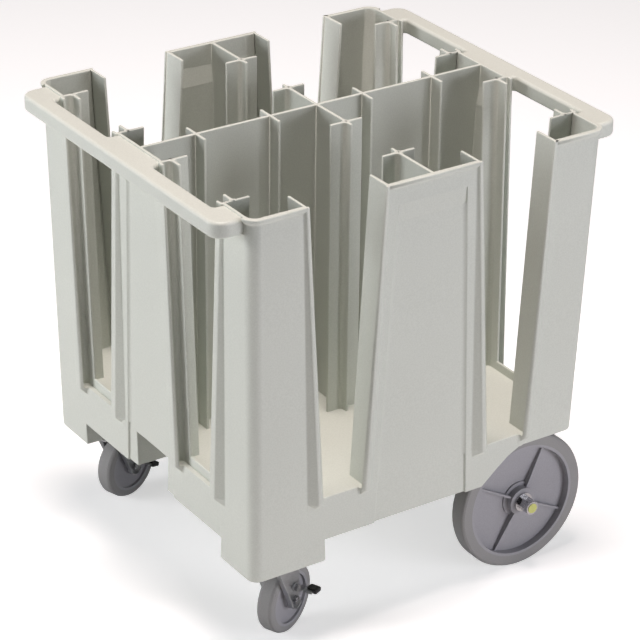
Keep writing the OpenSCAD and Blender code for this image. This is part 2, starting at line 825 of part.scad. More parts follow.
module caster_axle_nut(left) {
    color(chrome) on_caster_axle(left, -leg_y - fork_t - caster_nut_h)
        hex_nut(axle_head_d, bolt_d + bolt_gap, caster_nut_h);
}

// The brake lever turns on a pin above the axle, outside one leg of the fork
lever_y = -leg_y - fork_t - race_gap - lever_t;
lever_z = caster_r + lever_rise;
tab_z = lever_z - lever_drop;
tab_y = lever_y - tab_gap - tab_w;
tongue_y = tab_y + tab_w*tip_share;

// Places a brake part, drawn released, as it stands on a caster
module at_brake(left) {
    at_caster(left, true) translate([trail, 0, lever_z])
        rotate([0, left ? 0 : press_right, 0]) translate([-trail, 0, -lever_z]) children();
}

module tongue(x0, x1) {
    translate([x0, tongue_y, tab_z - lever_t/2]) cube([x1 - x0, lever_y + lever_t - tongue_y, lever_t]);
}

module brake_lever(left) {
    color(zinc) at_brake(left) difference() {
        union() {
            across_side(lever_y, lever_y + lever_t) {
                translate([trail, lever_z]) circle(d = lever_w, $fn = 48);
                polygon([[trail, lever_z + lever_w/2],
                    [trail + lever_reach, tab_z + lever_w*tip_share],
                    [trail + lever_reach, tab_z - lever_w*tip_share],
                    [trail, lever_z - lever_w/2]]);
            }
            tongue(trail + lever_reach - lever_w/2, trail + lever_reach + tab_in);
        }
        translate([trail, lever_y - over, lever_z]) rotate([-90, 0, 0])
            cylinder(d = lever_pin_d + 2*shaft_gap, h = lever_t + 2*over, $fn = 48);
    }
}

// The moulded tab that a foot presses, sleeved on the lever's end
module brake_tab(left) {
    color(tab_black) at_brake(left) difference() {
        translate([trail + lever_reach, tab_y, tab_z - tab_t/2]) cube([tab_l, tab_w, tab_t]);
        tongue(trail + lever_reach - over, trail + lever_reach + tab_in);
    }
}

module brake_pin(left) {
    grip_l = race_gap + lever_t + race_gap + fork_t;
    color(chrome) at_caster(left, true)
        translate([trail, lever_y - race_gap, lever_z]) rotate([-90, 0, 0]) {
            translate([0, 0, -head_h]) cylinder(d = lever_pin_head, h = head_h, $fn = 48);
            cylinder(d = lever_pin_d, h = grip_l, $fn = 48);
        }
}

base_tub();
corner_post(false, true);  // corner_post_front_left
corner_post(false, false);  // corner_post_front_right
corner_post(true, true);  // corner_post_rear_left
corner_post(true, false);  // corner_post_rear_right
side_post(true);  // side_post_left
side_post(false);  // side_post_right
end_post(false);  // end_post_front
end_post(true);  // end_post_rear
centre_divider();
handle(false);  // handle_front
handle(true);  // handle_rear
rear_axle();
axle_bracket(-1);  // axle_bracket_left
axle_bracket(1);  // axle_bracket_right
bracket_screws();
axle_spacers();
axle_washers();
axle_nuts();
axle_caps();
tyre(-1);  // tyre_left
tyre(1);  // tyre_right
wheel_centre(-1);  // wheel_centre_left
wheel_centre(1);  // wheel_centre_right
wheel_bush(-1);  // wheel_bush_left
wheel_bush(1);  // wheel_bush_right
caster_bolts();
caster_nuts();
caster_plate(true);  // caster_plate_left
swivel_race(true);  // swivel_race_left
kingpin(true);  // kingpin_left
fork(true);  // fork_left
caster_tread(true);  // caster_tread_left
caster_core(true);  // caster_core_left
caster_bush(true);  // caster_bush_left
caster_axle(true);  // caster_axle_left
caster_axle_nut(true);  // caster_axle_nut_left
brake_lever(true);  // brake_lever_left
brake_tab(true);  // brake_tab_left
brake_pin(true);  // brake_pin_left
caster_plate(false);  // caster_plate_right
swivel_race(false);  // swivel_race_right
kingpin(false);  // kingpin_right
fork(false);  // fork_right
caster_tread(false);  // caster_tread_right
caster_core(false);  // caster_core_right
caster_bush(false);  // caster_bush_right
caster_axle(false);  // caster_axle_right
caster_axle_nut(false);  // caster_axle_nut_right
brake_lever(false);  // brake_lever_right
brake_tab(false);  // brake_tab_right
brake_pin(false);  // brake_pin_right
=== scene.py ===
import math

import bmesh
import bpy
from mathutils import Matrix, Vector


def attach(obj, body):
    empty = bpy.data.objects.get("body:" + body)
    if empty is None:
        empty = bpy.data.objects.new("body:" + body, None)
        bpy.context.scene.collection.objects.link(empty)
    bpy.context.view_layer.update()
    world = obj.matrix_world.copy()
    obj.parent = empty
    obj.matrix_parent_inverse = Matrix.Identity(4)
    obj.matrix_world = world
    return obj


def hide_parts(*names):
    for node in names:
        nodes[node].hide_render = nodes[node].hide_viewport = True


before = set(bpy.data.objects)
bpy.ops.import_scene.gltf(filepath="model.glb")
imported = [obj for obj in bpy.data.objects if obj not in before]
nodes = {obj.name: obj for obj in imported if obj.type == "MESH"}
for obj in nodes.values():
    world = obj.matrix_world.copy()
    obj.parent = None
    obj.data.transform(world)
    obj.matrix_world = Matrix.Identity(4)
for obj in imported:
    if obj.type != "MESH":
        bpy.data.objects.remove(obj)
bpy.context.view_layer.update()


# helpers shared by the pieces

weldDistance = 1e-6
close = 1e-5
levelStep = 0.001


def pieceFrom(bm, name, body="cart"):
    bmesh.ops.remove_doubles(bm, verts=bm.verts, dist=weldDistance)
    mesh = bpy.data.meshes.new(name)
    bm.to_mesh(mesh)
    bm.free()
    piece = bpy.data.objects.new(name, mesh)
    bpy.context.collection.objects.link(piece)
    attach(piece, body)
    return piece


def settled(piece):
    # bakes the piece's modifiers into its mesh
    bpy.context.view_layer.update()
    graph = bpy.context.evaluated_depsgraph_get()
    done = bpy.data.meshes.new_from_object(piece.evaluated_get(graph))
    old = piece.data
    piece.modifiers.clear()
    piece.data = done
    done.name = old.name
    bpy.data.meshes.remove(old)
    return piece


def addMirrored(bm):
    # adds the mirror image across the cart's middle line
    half = bmesh.ops.duplicate(bm, geom=bm.verts[:] + bm.edges[:] + bm.faces[:])["geom"]
    verts = [g for g in half if isinstance(g, bmesh.types.BMVert)]
    bmesh.ops.scale(bm, vec=(1, -1, 1), verts=verts)


def softEdges(piece, width, segments, angle):
    bevel = piece.modifiers.new("softEdges", "BEVEL")
    bevel.width = width
    bevel.segments = segments
    bevel.limit_method = "ANGLE"
    bevel.angle_limit = math.radians(angle)
    bevel.use_clamp_overlap = False
    bevel.profile = 0.5
    bevel.miter_outer = "MITER_SHARP"
    return bevel


def smoothNarrow(piece, width):
    # narrow faces belong to roundings and shade smoothly, the panels stay flat
    mesh = piece.data
    for face in mesh.polygons:
        longest = max((mesh.vertices[a].co - mesh.vertices[b].co).length for a, b in face.edge_keys)
        face.use_smooth = face.area < width * longest


# the body moulding

bodySizes = {
    # heights
    "rim": 0.830, "deck": 0.284, "deckMiddle": 0.281, "mid": 0.268, "skirt": 0.200,
    "block": 0.156, "blockMiddle": 0.1585, "arch": 0.259, "archCorner": 0.2572,
    # outline and walls
    "halfLength": 0.354, "halfWidth": 0.348, "wall": 0.005, "border": 0.0045,
    "leanSide": 0.0105, "leanRear": 0.0255, "cornerRadius": 0.0175, "cornerSteps": 6,
    # slots, their lips and flanges
    "sideIn": 0.095, "sideOut": 0.242, "sideTaper": 0.029,
    "endIn": 0.083, "endOut": 0.248, "endTaper": 0.026,
    "endFlange": 0.0125, "sideFlange": 0.005, "flangeIn": 0.055,
    "slopeTop": 0.0035, "slopeGrows": 0.011, "sillStep": 0.006,
    "guardDepth": 0.022, "guardReach": 0.015, "curb": 0.0165, "curbInset": 0.003,
    # sunk middle of a mid post, with the line beside it
    "recess": 0.0042, "recessTop": 0.790, "recessFull": 0.757, "recessRun": 0.0009,
    "sideLineFrom": 0.776, "sideLineTop": 0.071, "sideLineFoot": 0.097,
    "endLineFrom": 0.760, "endLineTop": 0.048, "endLineFoot": 0.080,
    # divider, its fins and bars
    "outerFin": 0.240, "innerFin": 0.094, "finReach": 0.030, "barReach": 0.032,
    "crossBar": 0.089, "crossEnd": 0.106, "postBar": 0.2425, "tailEnd": 0.223,
    # skirt, caster blocks and the channel over the notch
    "blockX": -0.1965, "blockY": -0.2285, "channelY": -0.0525, "channelLean": 0.030,
    "archStop": 0.385, "blockStop": 0.81,
    # roundings
    "edge": 0.0017, "fillet": 0.007, "blockEdge": 0.006, "narrow": 0.0065,
    # how edges are picked: least length of an upright, turn in radians, corners of the deck
    "upright": 0.3, "sharpTurn": 1.0, "deckCorners": 60, "rimBand": 0.0003,
}
archPoints = {"a1": (0.161, 0.2266), "a2": (0.184, 0.2448), "a3": (0.205, 0.2555)}


def bodyNetwork():
    # every wall as a single sheet, each of its corners a place as a function of height.
    # A name starts with r or f, for the rear or front end, then says what it stands on:
    # c corner arc, s and e a corner post's side and end face, p side post, m end post,
    # d n divider and fins, x t w bars and tails, q caster block, a wheel arch.
    s = bodySizes
    rim, deck, half = s["rim"], s["deck"], s["wall"] / 2

    def lean(z, total):
        return total * (rim - z) / (rim - s["block"])

    def wallX(z, end):
        total = s["leanRear"] if end > 0 else s["leanSide"]
        return end * (s["halfLength"] - s["border"] - lean(z, total) - half)

    def wallY(z):
        return s["border"] + lean(z, s["leanSide"]) + half - s["halfWidth"]

    def recess(z):
        # the middle of a mid post lies deeper, below a short ramp
        return s["recess"] if z < s["recessFull"] + levelStep else 0.0

    def lipX(z, end, depth=0.0):
        back = lean(z, s["leanRear"] - s["leanSide"]) if end > 0 else 0.0
        return end * (s["halfLength"] - half - back - depth)

    lipY = half - s["halfWidth"]

    def share(z):
        return (rim - z) / (rim - deck)

    def sideOut(z):
        return s["sideOut"] - s["sideTaper"] * share(z)

    def sideIn(z):
        return s["sideIn"] + s["sideTaper"] * share(z)

    def endOut(z):
        return s["endOut"] - s["endTaper"] * share(z)

    def endIn(z):
        return s["endIn"] + s["endTaper"] * share(z)

    def line(z, face):
        # the line beside the recess of a side post or an end post
        start, top, foot = (s[face + k] for k in ("LineFrom", "LineTop", "LineFoot"))
        return top + (foot - top) * (start - z) / (start - s["skirt"])

    places, walls = {}, []

    def chain(*names):
        walls.extend(zip(names, names[1:]))

    def slope(z):
        # the band between a panel and its slot lip widens towards the deck
        return s["slopeTop"] + s["slopeGrows"] * share(z)

    at, by, deep, guard, reach = (s[k] for k in (
        "endFlange", "sideFlange", "flangeIn", "guardDepth", "guardReach"))
    steps = s["cornerSteps"]
    for end, e in ((1, "r"), (-1, "f")):
        for k in range(steps + 1):
            turn = math.radians(90 * k / steps)
            places[f"{e}c{k}"] = lambda z, end=end, turn=turn: (
                wallX(z, end) - end * s["cornerRadius"] * (1 - math.sin(turn)),
                wallY(z) + s["cornerRadius"] * (1 - math.cos(turn)))
        places[e + "sA"] = lambda z, end=end: (end * (sideOut(z) + by + slope(z)), wallY(z))
        places[e + "sB"] = lambda z, end=end: (end * (sideOut(z) + by), lipY)
        places[e + "sL"] = lambda z, end=end: (end * sideOut(z), lipY)
        places[e + "sF"] = lambda z, end=end: (end * (sideOut(z) + by), deep - s["halfWidth"])
        places[e + "pA"] = lambda z, end=end: (end * (sideIn(z) - by - slope(z)), wallY(z))
        places[e + "pB"] = lambda z, end=end: (end * (sideIn(z) - by), lipY)
        places[e + "pL"] = lambda z, end=end: (end * sideIn(z), lipY)
        places[e + "pF"] = lambda z, end=end: (end * (sideIn(z) - by), deep - s["halfWidth"])
        places[e + "eA"] = lambda z, end=end: (wallX(z, end), -endOut(z) - at - slope(z))
        places[e + "eB"] = lambda z, end=end: (lipX(z, end), -endOut(z) - at)
        places[e + "eL"] = lambda z, end=end: (lipX(z, end), -endOut(z))
        places[e + "eG"] = lambda z, end=end: (lipX(z, end, guard), -endOut(z) - at)
        places[e + "eK"] = lambda z, end=end: (lipX(z, end, guard), -endOut(z) + reach)
        places[e + "eF"] = lambda z, end=end: (lipX(z, end, deep - half), -endOut(z) - at)
        places[e + "mA"] = lambda z, end=end: (wallX(z, end), -endIn(z) + at + slope(z))
        places[e + "mB"] = lambda z, end=end: (lipX(z, end), -endIn(z) + at)
        places[e + "mL"] = lambda z, end=end: (lipX(z, end), -endIn(z))
        places[e + "mG"] = lambda z, end=end: (lipX(z, end, guard), -endIn(z) + at)
        places[e + "mK"] = lambda z, end=end: (lipX(z, end, guard), -endIn(z) - reach)
        places[e + "mF"] = lambda z, end=end: (lipX(z, end, deep - half), -endIn(z) + at)
        places[e + "sC"] = lambda z, end=end: (end * (sideOut(z) - s["sillStep"]), wallY(z))
        places[e + "pC"] = lambda z, end=end: (end * (sideIn(z) + s["sillStep"]), wallY(z))
        places[e + "eC"] = lambda z, end=end: (wallX(z, end), s["sillStep"] - endOut(z))
        places[e + "mC"] = lambda z, end=end: (wallX(z, end), -s["sillStep"] - endIn(z))
        places[e + "pR"] = lambda z, end=end: (end * line(z, "side"), wallY(z))
        places[e + "pS"] = lambda z, end=end: (
            end * (line(z, "side") - s["recessRun"]), wallY(z) + recess(z))
        places[e + "mR"] = lambda z, end=end: (wallX(z, end), -line(z, "end"))
        places[e + "mS"] = lambda z, end=end: (
            wallX(z, end) - end * recess(z), s["recessRun"] - line(z, "end"))
        places[e + "m0"] = lambda z, end=end: (wallX(z, end) - end * recess(z), 0.0)
        places[e + "m5"] = lambda z, end=end: (
            wallX(z, end) - end * recess(z),
            s["channelY"] + s["channelLean"] * max(0.0, 1 - share(z)))
        fixed = {"d2": (s["outerFin"], 0.0), "d1": (s["innerFin"], 0.0),
                 "n2": (s["outerFin"], -s["finReach"]), "n1": (s["innerFin"], -s["finReach"]),
                 "t1": (s["barReach"], -s["crossBar"]), "t2": (s["barReach"], -s["postBar"])}
        for name, (x, y) in fixed.items():
            places[e + name] = lambda z, x=end * x, y=y: (x, y)
    middle = {"d0": 0.0, "x1": -s["crossBar"], "x2": -s["crossEnd"],
              "w1": -s["postBar"], "w2": -s["tailEnd"]}
    for name, y in middle.items():
        places[name] = lambda z, y=y: (0.0, y)
    places["p0"] = lambda z: (0.0, wallY(z) + recess(z))

    def between(a, b, part):
        return lambda z: tuple(Vector(places[a](z)).lerp(Vector(places[b](z)), part))

    places["rs5"] = between("rsB", "rsA", s["archStop"])
    places["fe5"] = between("feL", "feB", s["blockStop"])
    for e in "rf":
        corner = [f"{e}c{k}" for k in range(steps + 1)]
        side = [e + "sL", e + "sB", e + "sA"] if e == "f" else [e + "sL", e + "sB", "rs5", e + "sA"]
        last = [e + "eA", e + "eB", e + "eL"] if e == "r" else [e + "eA", e + "eB", "fe5", e + "eL"]
        chain(*side, *corner, *last)
        chain(e + "sB", e + "sF")
        chain(e + "eB", e + "eG", e + "eF")
        chain(e + "eG", e + "eK")
        chain(e + "mL", e + "mB", e + "mA", e + "mR", e + "mS", e + "m5", e + "m0",
              e + "d2", e + "d1", "d0")
        chain(e + "mB", e + "mG", e + "mF")
        chain(e + "mG", e + "mK")
        chain(e + "d2", e + "n2")
        chain(e + "d1", e + "n1")
        chain("x1", e + "t1")
        chain("w1", e + "t2")
        chain("p0", e + "pS", e + "pR", e + "pA", e + "pB", e + "pL")
        chain(e + "pB", e + "pF")
    chain("d0", "x1", "x2")
    chain("p0", "w1", "w2")

    # places that only the skirt needs, all on a sill
    skirt = {"q0": s["blockX"], **{name: x for name, (x, z) in archPoints.items()}}
    for name, x in skirt.items():
        places[name] = lambda z, x=x: (x, wallY(z))
    places["q1"] = lambda z: (s["blockX"], s["blockY"])
    places["q2"] = lambda z: (s["blockX"], s["channelY"])
    ring = (["rm0", "rm5", "rmS", "rmR", "rmA", "rmB", "rmL", "rmC", "reC", "reL", "reB", "reA"]
            + [f"rc{k}" for k in range(steps, -1, -1)]
            + ["rsA", "rs5", "rsB", "rsL", "rsC", "a3", "a2", "a1", "rpC", "rpL", "rpB",
               "rpA", "rpR", "rpS", "p0", "fpS", "fpR", "fpA", "fpB", "fpL", "fpC", "q0",
               "fsC", "fsL", "fsB", "fsA"]
            + [f"fc{k}" for k in range(steps + 1)]
            + ["feA", "feB", "fe5", "feL", "feC", "fmC", "fmL", "fmB", "fmA", "fmR", "fmS",
               "fm5", "fm0"])
    return places, walls, ring, wallX, wallY


def bodySheet():
    s = bodySizes
    places, walls, ring, wallX, wallY = bodyNetwork()
    deckZ = s["deckMiddle"]
    bm = bmesh.new()
    spot = {name: bm.verts.new((*place(deckZ), deckZ)) for name, place in places.items()}
    nameOf = {v: n for n, v in spot.items()}

    def edgeOf(a, b):
        return bm.edges.get((a, b)) or bm.edges.new((a, b))

    wallEdges = [edgeOf(spot[a], spot[b]) for a, b in walls]
    ringEdges = [edgeOf(spot[a], spot[b]) for a, b in zip(ring, ring[1:])]
    blockPath = ["fe5", "q1", "q0"]
    channelPath = ["fm5", "q2", "q1"]
    underEdges = [edgeOf(spot[a], spot[b]) for path in (blockPath, channelPath)
                  for a, b in zip(path, path[1:])]

    def key(v):
        return tuple(round(c, 6) for c in v.co)

    def drawn(edges, target):
        # extrudes the edges and places each new vertex by the name of its source
        source = {key(v): nameOf[v] for e in edges for v in e.verts}
        made = bmesh.ops.extrude_edge_only(bm, edges=edges)["geom"]
        fresh = [g for g in made if isinstance(g, bmesh.types.BMVert)]
        for v in fresh:
            name = source[key(v)]
            v.co = target(name)
            nameOf[v] = name
        return [g for g in made if isinstance(g, bmesh.types.BMEdge)
                and g.verts[0] in fresh and g.verts[1] in fresh]

    drawn(wallEdges, lambda n: (*places[n](s["rim"]), s["rim"]))
    # the mid posts' panels get two more rows, where the ramp into the recess starts and ends
    onPost = ("pA", "pR", "pS", "mA", "mR", "mS", "m5", "m0")
    postNames = {"p0", *(e + n for e in "rf" for n in onPost)}
    for z in (s["recessTop"], s["recessFull"]):
        panels = [f for f in bm.faces if all(nameOf.get(v) in postNames for v in f.verts)]
        parts = set(panels)
        for f in panels:
            parts.update(f.edges, f.verts)
        cut = bmesh.ops.bisect_plane(bm, geom=list(parts), plane_co=(0, 0, z), plane_no=(0, 0, 1))
        fresh = [g for g in cut["geom_cut"]
                 if isinstance(g, bmesh.types.BMVert) and g not in nameOf]
        for v in fresh:
            ends = [e.other_vert(v) for e in v.link_edges]
            nameOf[v] = next(nameOf[w] for w in ends
                             if w in nameOf and abs(w.co.z - z) > levelStep)
        for v in fresh:
            v.co = (*places[nameOf[v]](z), z)

    onSide = ("sA", "sB", "sL", "sC", "pA", "pB", "pL", "pC")
    onEnd = ("eA", "eB", "eL", "eC", "mA", "mB", "mL", "mC")

    def onSkirt(name, z):
        # below the sills everything lies on the leaning wall
        x, y = places[name](z)
        if name in ring:
            if name[1:] in onSide or name == "rs5":
                x = places[name](deckZ)[0]
                y = wallY(z)
            if name[1:] in onEnd or name == "fe5":
                y = places[name](deckZ)[1]
                x = wallX(z, 1 if name[0] == "r" else -1)
        return x, y, z

    midEdges = drawn(ringEdges + underEdges, lambda n: onSkirt(n, s["mid"]))
    rearNames = set(ring[:ring.index("a3")])

    def lowZ(name):
        # the wheel arch takes the place of the skirt behind its last point
        if name in rearNames:
            return s["archCorner"] if name in ("rsL", "rsC") else s["arch"]
        return archPoints[name][1] if name in archPoints else s["skirt"]

    # the skirt stays open at the front notch
    skirtEdges = [e for e in midEdges if {nameOf[v] for v in e.verts} != {"fm5", "fm0"}]
    lowEdges = drawn(skirtEdges, lambda n: onSkirt(n, lowZ(n)))
    blockNames = set(ring[ring.index("q0"):ring.index("fe5") + 1]) | {"q1"}
    loop = [e for e in lowEdges if all(nameOf[v] in blockNames for v in e.verts)]
    bottom = drawn(loop, lambda n: onSkirt(n, s["blockMiddle"]))
    bmesh.ops.edgeloop_fill(bm, edges=bottom)
    # the deck fills the ring and the long divider's foot
    line = ["fm0", "fd2", "fd1", "d0", "rd1", "rd2", "rm0"]
    deckLoop = ringEdges + [edgeOf(spot[a], spot[b]) for a, b in zip(line, line[1:])]
    bmesh.ops.edgeloop_fill(bm, edges=deckLoop)
    # a low curb joins the two guard fins of each end slot
    for e in "rf":
        a, b = places[e + "eK"](deckZ), places[e + "mK"](deckZ)
        a, b = (a[0], a[1] - s["curbInset"]), (b[0], b[1] + s["curbInset"])
        top = s["deck"] + s["curb"]
        bm.faces.new([bm.verts.new((*place, z)) for place, z in (
            (a, deckZ), (b, deckZ), (b, top), (a, top))])
    addMirrored(bm)
    bmesh.ops.remove_doubles(bm, verts=bm.verts, dist=close)
    return bm


def insideBox(bm):
    # keeps the walls' roundings inside the cart's own size
    s = bodySizes
    high = Vector((s["halfLength"], s["halfWidth"], s["rim"]))
    for v in bm.verts:
        for k in range(3):
            v.co[k] = max(-high[k], min(high[k], v.co[k]))
        if v.co.z > s["rim"] - s["rimBand"]:
            v.co.z = s["rim"]


def makeBody():
    s = bodySizes
    body = pieceFrom(bodySheet(), "bodyMoulding")
    thick = body.modifiers.new("thickness", "SOLIDIFY")
    thick.solidify_mode = "NON_MANIFOLD"
    thick.nonmanifold_thickness_mode = "CONSTRAINTS"
    thick.thickness = s["wall"]
    thick.offset = 0
    settled(body)
    bm = bmesh.new()
    bm.from_mesh(body.data)
    insideBox(bm)
    # upright inner corners, but for those that stand on the deck's own outline
    onDeck = {v for f in bm.faces if len(f.verts) > s["deckCorners"] for v in f.verts}
    inner = [e for e in bm.edges if len(e.link_faces) == 2 and e.calc_length() > s["upright"]
             and e.calc_face_angle_signed() < -s["sharpTurn"]
             and not onDeck.intersection(e.verts)]
    bmesh.ops.bevel(bm, geom=inner, offset=s["fillet"], segments=4, profile=0.5,
                    affect="EDGES", material=-1, clamp_overlap=False)
    under = [e for e in bm.edges if len(e.link_faces) == 2
             and e.calc_face_angle_signed() > s["sharpTurn"]
             and max(v.co.z for v in e.verts) < s["block"] + levelStep]
    bmesh.ops.bevel(bm, geom=under, offset=s["blockEdge"], segments=4, profile=0.5,
                    affect="EDGES", material=-1, clamp_overlap=False)
    bmesh.ops.dissolve_degenerate(bm, dist=close, edges=bm.edges)
    bm.to_mesh(body.data)
    bm.free()
    softEdges(body, s["edge"], 3, 30)
    settled(body)
    bm = bmesh.new()
    bm.from_mesh(body.data)
    insideBox(bm)
    bm.to_mesh(body.data)
    bm.free()
    smoothNarrow(body, s["narrow"])
    return body


beadSizes = {
    "sunk": 0.0018, "top": 0.00015, "front": 0.005, "foot": 0.012, "footSunk": 0.0005,
    "endGap": 0.001, "arcSteps": 8, "edge": 0.0016, "narrow": 0.004,
    # how the outer top edges are picked
    "turn": 0.5, "sideFrom": 0.3236, "shortest": 0.004, "endBand": 0.03, "near": 0.0001,
}


def beadPath(end):
    # the outer face of a corner post at the rim, from its slot to the end of its round corner
    s, b = bodySizes, beadSizes
    x1 = end * (s["halfLength"] - s["border"])
    y1 = s["border"] - s["halfWidth"]
    r = s["cornerRadius"] + s["wall"] / 2
    path = [((end * (s["sideOut"] + s["sideFlange"] + b["endGap"]), y1), (0, -1))]
    for k in range(b["arcSteps"] + 1):
        turn = math.radians(90 * k / b["arcSteps"])
        out = (end * math.sin(turn), -math.cos(turn))
        path.append(((x1 - end * r + r * out[0], y1 + r + r * out[1]), out))
    return path


def makeBeads():
    s, b = bodySizes, beadSizes
    profile = [(-b["sunk"], -b["top"]), (s["border"], -b["top"]), (s["border"], -b["front"]),
               (-b["footSunk"], -b["foot"]), (-b["sunk"], -b["foot"])]
    y1 = s["border"] - s["halfWidth"]
    reach = s["sideIn"] - s["sideFlange"] - b["endGap"]
    paths = [[((-reach, y1), (0, -1)), ((reach, y1), (0, -1))], beadPath(1), beadPath(-1)]
    bm = bmesh.new()
    for path in paths:
        rows = [[bm.verts.new((x + d * ox, y + d * oy, s["rim"] + z)) for d, z in profile]
                for (x, y), (ox, oy) in path]
        for a, c in zip(rows, rows[1:]):
            for k in range(len(profile)):
                after = (k + 1) % len(profile)
                bm.faces.new((a[k], a[after], c[after], c[k]))
        bm.faces.new(rows[0])
        bm.faces.new(rows[-1])
    addMirrored(bm)
    bmesh.ops.recalc_face_normals(bm, faces=bm.faces)
    outer = [e for e in bm.edges if len(e.link_faces) == 2 and e.calc_face_angle() > b["turn"]
             and max(abs(v.co.y) for v in e.verts) > b["sideFrom"]
             and e.calc_length() > b["shortest"]
             and all(abs(v.co.y) > s["halfWidth"] - b["near"]
                     or abs(v.co.x) > s["halfLength"] - b["endBand"] for v in e.verts)
             and all(v.co.z > s["rim"] - b["front"] - b["near"] for v in e.verts)
             and abs(e.verts[0].co.z - e.verts[1].co.z) < levelStep]
    bmesh.ops.bevel(bm, geom=outer, offset=b["edge"], segments=3, profile=0.5,
                    affect="EDGES", material=-1, clamp_overlap=True)
    piece = pieceFrom(bm, "rimBeads")
    smoothNarrow(piece, b["narrow"])
    return piece


bodyPiece = makeBody()
beadPiece = makeBeads()
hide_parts("base_tub", "corner_post_front_left", "corner_post_front_right",
            "corner_post_rear_left", "corner_post_rear_right", "side_post_left",
            "side_post_right", "end_post_front", "end_post_rear", "centre_divider")
print("body moulding", len(bodyPiece.data.polygons))


# the two handle bars

handleSizes = {"gap": 0.012, "width": 0.034, "height": 0.029, "drop": 0.003, "half": 0.322,
               "corner": 0.026, "inner": 0.008, "lip": 0.012, "gapCorner": 0.006, "edge": 0.009,
               "turn": 0.5, "narrow": 0.0065}


def makeHandle(end):
    h, s = handleSizes, bodySizes
    x0 = s["halfLength"] - h["inner"]
    x1 = s["halfLength"] + h["gap"]
    x2 = x1 + h["width"]
    bm = bmesh.new()
    y0, y1 = s["endIn"] - h["lip"], s["endOut"] + h["lip"]
    outline = [(x0, 0), (x0, y0), (x1, y0), (x1, y1), (x0, y1), (x0, h["half"]), (x2, h["half"]),
               (x2, 0)]
    ring = [bm.verts.new((x, y, s["rim"] - h["drop"])) for x, y in outline]
    bm.faces.new(ring)
    # the far corner of the bar, then the corners of the finger gap
    bmesh.ops.bevel(bm, geom=[ring[6]], offset=h["corner"], segments=8, profile=0.5,
                    affect="VERTICES", material=-1)
    gap = [v for v in bm.verts if abs(v.co.x - x1) < close and v.co.y < y1 + close]
    bmesh.ops.bevel(bm, geom=gap, offset=h["gapCorner"], segments=4, profile=0.5,
                    affect="VERTICES", material=-1)
    made = bmesh.ops.extrude_face_region(bm, geom=bm.faces[:])["geom"]
    bmesh.ops.translate(bm, vec=(0, 0, -h["height"]),
                        verts=[g for g in made if isinstance(g, bmesh.types.BMVert)])
    # the cut faces at the middle go before the halves are joined
    flat = [f for f in bm.faces if all(abs(v.co.y) < close for v in f.verts)]
    bmesh.ops.delete(bm, geom=flat, context="FACES_ONLY")
    addMirrored(bm)
    bmesh.ops.remove_doubles(bm, verts=bm.verts, dist=close)
    if end < 0:
        bmesh.ops.scale(bm, vec=(-1, 1, 1), verts=bm.verts)
    bmesh.ops.recalc_face_normals(bm, faces=bm.faces)
    rounded = [e for e in bm.edges if len(e.link_faces) == 2 and e.calc_face_angle() > h["turn"]
               and max(abs(v.co.x) for v in e.verts) > s["halfLength"] + levelStep]
    bmesh.ops.bevel(bm, geom=rounded, offset=h["edge"], segments=5, profile=0.5,
                    affect="EDGES", material=-1, clamp_overlap=True)
    side = "rear" if end > 0 else "front"
    piece = pieceFrom(bm, side + "HandleBar")
    smoothNarrow(piece, h["narrow"])
    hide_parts("handle_" + side)
    return piece


handlePieces = [makeHandle(end) for end in (1, -1)]
print("handle bars")


# camera

cameraSizes = {"place": (-2.4047, -3.6160, 2.6209), "target": (0.02088, 0.02796, 0.400),
               "sensor": 36, "lens": 154.935, "shift": 0.00678, "roll": 0.60,
               "nearest": 0.1, "farthest": 100}


def makeCamera():
    c = cameraSizes
    data = bpy.data.cameras.new("photoCamera")
    data.sensor_width = c["sensor"]
    data.lens = c["lens"]
    data.shift_x = c["shift"]
    data.clip_start = c["nearest"]
    data.clip_end = c["farthest"]
    camera = bpy.data.objects.new("photoCamera", data)
    bpy.context.collection.objects.link(camera)
    back = (Vector(c["place"]) - Vector(c["target"])).normalized()
    across = Vector((0, 0, 1)).cross(back).normalized()
    up = back.cross(across)
    roll = math.radians(c["roll"])
    right = math.cos(roll) * across + math.sin(roll) * up
    above = math.cos(roll) * up - math.sin(roll) * across
    turn = Matrix((right, above, back)).transposed().to_4x4()
    camera.matrix_world = Matrix.Translation(c["place"]) @ turn
    bpy.context.scene.camera = camera


makeCamera()
print("camera")


# materials

def newMaterial(name):
    material = bpy.data.materials.new(name)
    material.use_nodes = True
    tree = material.node_tree
    shader = tree.nodes["Principled BSDF"]
    return material, tree, shader


surfaceSizes = {"blotchDetail": 4, "grainDetail": 2, "grainFrom": 0.34, "grainTo": 0.66,
                "grainShare": 0.5, "blotchShare": 0.5, "roughFrom": 0.3, "roughTo": 0.7}


